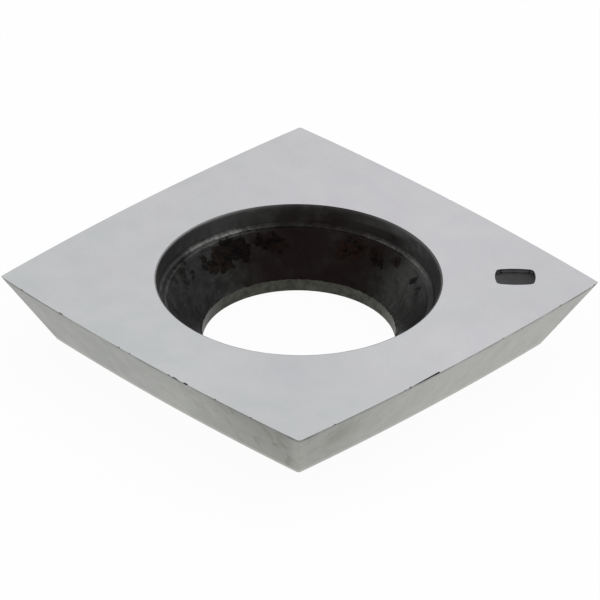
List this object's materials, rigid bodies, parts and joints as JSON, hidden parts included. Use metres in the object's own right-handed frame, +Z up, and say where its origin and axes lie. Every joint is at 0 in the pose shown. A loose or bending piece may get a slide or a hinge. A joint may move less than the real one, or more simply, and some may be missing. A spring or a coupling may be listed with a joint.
{
  "type": "carbide insert",
  "caption": "Square indexable cutting insert with bowed edges, relieved flanks and a countersunk screw hole, in ground tungsten carbide.",
  "frame": {"origin": "centre of the seat face, which the insert rests on and the holder's pocket bears on, on the axis of the screw hole", "axes": "+Z up along the screw hole towards the screw's head, +X and +Y towards the middles of two cutting edges, the index mark at the corner between them"},
  "size_m": [0.015, 0.015, 0.0025],
  "materials": {
    "ground_carbide": "fine ground, satin",
    "sintered_carbide": "as sintered, dull dark grey"
  },
  "bodies": {
    "root": {"insert": "ground_carbide"}
  },
  "joints": []
}
